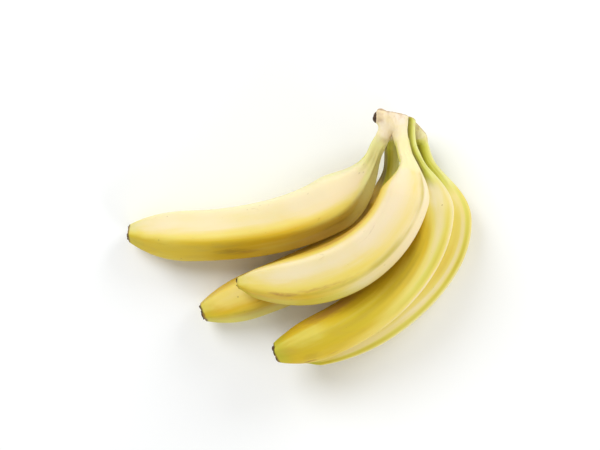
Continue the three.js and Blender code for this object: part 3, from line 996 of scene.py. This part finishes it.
def crown_material():
    """Fibrous cream flesh with green where pedicels start, painted shade in the folds, and a dry brown knife
    cut.
    """
    n = Nodes("crown")
    position = n.position()
    cut, green, brown = n.split(n.attribute("grown"))
    crease, light, cream = n.split(n.attribute("skin"))
    streak = n.noise(n.stretched(position, 260, 40, 260), 1.0, 4)
    colour, fibre = stalk_colour(n, position, green, light, cream, streak, brown)
    # painted shade along the folds between roots
    colour = n.mix(n.times(crease, 0.9), colour, CREASE_SHADE)
    blotch = n.noise(position, 260, 4, 0.6)
    near_cut = n.times(n.ramp(cut, -0.006, -0.0005), 0.6)
    colour = n.mix(n.times(n.ramp(blotch, 0.5, 0.62), near_cut), colour, TAN)
    pith = n.noise(position, 2200, 2)
    dry = n.mix(n.ramp(fibre, 0.35, 0.7), DRY_TAN, DRY_BROWN)
    dry = n.mix(n.times(n.ramp(pith, 0.56, 0.66), 0.7), dry, BROWN)
    colour = n.mix(n.times(n.ramp(cut, -0.0008, -0.0002), 0.85), colour, dry)
    height = n.plus(n.times(fibre, 0.7), n.times(blotch, 0.5))
    height = n.times(height, n.ramp(green, 1.1, 0.2))  # green skin is smooth
    return n.surface(
        Base_Color=colour, Roughness=n.spread(blotch, 0.5, 0.7), Normal=n.bump(height, 0.0005, 0.6)
    )


def dried_material():
    """Dark, cracked and dried: the tips' scars and the stump's scab."""
    n = Nodes("dried")
    crack = n.noise(n.position(), 900, 4, 1.0)
    colour = n.mix(n.ramp(crack, 0.35, 0.7), DARK, SCAR_BROWN)
    return n.surface(
        Base_Color=colour, Roughness=n.spread(crack, 0.65, 0.95), Normal=n.bump(crack, 0.0008, 0.9)
    )


# ---- the bunch ----------------------------------------------------------------------------------------


def bunch():
    """The crown, the stump's scab, and each finger with the scar on its tip."""
    crown_piece(crown_material())
    dried = dried_material()
    stump = Line(np.linspace(STUMP_START, STUMP_END, 30) + SCAB_SLIP)
    size = STUMP_RADII[1] * SCAR_SHARE
    scar_piece("stump_scab", "crown_scab", stump, size, SCAB_LENGTH, dried, SCAB_SEED, dome)
    for index, (finger, look) in enumerate(zip(FINGERS, PEEL_LOOKS)):
        number = index + 1
        whole = centreline(finger)

        def radius_of(past, finger=finger, whole=whole):
            return radius_along(finger, whole, whole.stalk + past)[0]

        finger_piece(number, finger, peel_material(number, look, radius_of))
        inner = Line(whole.points[whole.lengths <= whole.lengths[-1] - SCAR_LENGTH])
        size = finger["end"] * (1 - look["pinch"]) * SCAR_SHARE
        scar_piece(f"scar_{number}", f"tip_{number}", inner, size, SCAR_LENGTH, dried, TIP_SEED + index)


# ---- table, light and camera --------------------------------------------------------------------------

TABLE_HALF = 2.5
TABLE_COLOUR = (0.94, 0.94, 0.94, 1)
SKY_COLOUR, SKY_STRENGTH = (1, 0.975, 0.94, 1), 0.42
LAMP_COLOUR = (0.94, 0.975, 1)
# Each lamp's name, place, width and power. All of them face the origin.
LAMPS = [
    ("key", (-0.8, 0.8, 1.2), 1.0, 15.4),
    ("fill_upper_right", (0.9, 0.9, 0.7), 0.8, 8.6),
    ("fill_lower_right", (1.0, -1.0, 0.6), 0.8, 9.2),
    ("fill_lower_left", (-0.9, -0.9, 0.7), 0.8, 2),
]


def table():
    mesh = bpy.data.meshes.new("table")
    signs = [(-1, -1), (1, -1), (1, 1), (-1, 1)]
    corners = [(x * TABLE_HALF, y * TABLE_HALF, 0) for x, y in signs]
    mesh.from_pydata(corners, [], [(0, 1, 2, 3)])
    n = Nodes("table")
    mesh.materials.append(n.surface(Base_Color=TABLE_COLOUR, Roughness=0.7, Specular_IOR_Level=0.2))
    floor = bpy.data.objects.new("table", mesh)
    bpy.context.scene.collection.objects.link(floor)


def softbox(name, place, size, power):
    light = bpy.data.lights.new(name, "AREA")
    light.shape, light.size, light.energy, light.color = "DISK", size, power, LAMP_COLOUR
    lamp = bpy.data.objects.new(name, light)
    lamp.location = place
    lamp.rotation_euler = (-Vector(place)).to_track_quat("-Z", "Y").to_euler()
    bpy.context.scene.collection.objects.link(lamp)


def studio():
    world = bpy.data.worlds.new("studio")
    world.use_nodes = True
    sky = world.node_tree.nodes["Background"].inputs
    sky["Color"].default_value = SKY_COLOUR
    sky["Strength"].default_value = SKY_STRENGTH
    bpy.context.scene.world = world
    for lamp in LAMPS:
        softbox(*lamp)
    bpy.context.scene.view_settings.view_transform = "Standard"


def camera():
    lens = bpy.data.cameras.new("camera")
    lens.sensor_width = SENSOR_WIDTH
    lens.lens = SENSOR_WIDTH * CAMERA_HEIGHT / (PICTURE_WIDTH * PIXEL_SIZE)
    lens.clip_start, lens.clip_end = 0.01, 20
    eye = bpy.data.objects.new("camera", lens)
    eye.location = (SHIFT[0] * MM, SHIFT[1] * MM, CAMERA_HEIGHT * MM)
    bpy.context.scene.collection.objects.link(eye)
    bpy.context.scene.camera = eye


bunch()
table()
studio()
camera()
